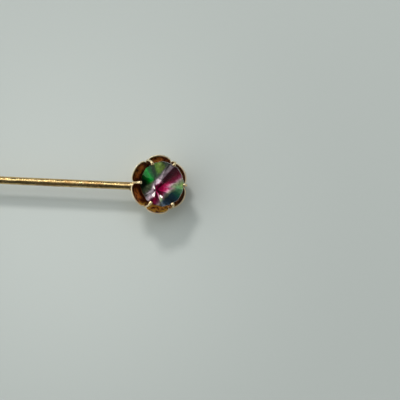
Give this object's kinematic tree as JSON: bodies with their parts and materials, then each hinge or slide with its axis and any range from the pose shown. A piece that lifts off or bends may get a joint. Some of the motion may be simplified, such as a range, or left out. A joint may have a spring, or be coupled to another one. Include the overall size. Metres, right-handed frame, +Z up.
{
  "type": "hat pin",
  "caption": "Hat pin with a six-petal cup, folded prongs around a faceted glass stone, a long pointed wire and a slide-off point guard.",
  "frame": {"origin": "middle of the footprint, on the surface the pin lies on", "axes": "+X along the wire from the point to the head, +Z up as it lies, +Y to its left"},
  "size_m": [0.0784, 0.0082, 0.0063],
  "materials": {
    "gilt": "polished gilt",
    "solder": "satin solder, gilt over",
    "iris_glass": "polished facets, banded green, magenta and blue",
    "foil": "mirror foil",
    "grip_rubber": "matte"
  },
  "bodies": {
    "pin": {"petal_cup": "gilt", "stone": "iris_glass", "foil_backing": "foil", "prong_1": "gilt", "prong_2": "gilt", "prong_3": "gilt", "prong_4": "gilt", "prong_5": "gilt", "prong_6": "gilt", "pin_stem": "gilt", "solder_joint": "solder"},
    "guard": {"guard_shell": "gilt", "guard_collar": "gilt", "guard_sleeve": "grip_rubber"}
  },
  "joints": [
    {"name": "guard_slide", "type": "slide", "parent": "pin", "child": "guard", "axis": [-1, 0, 0], "range_m": [0, 0.025]}
  ]
}
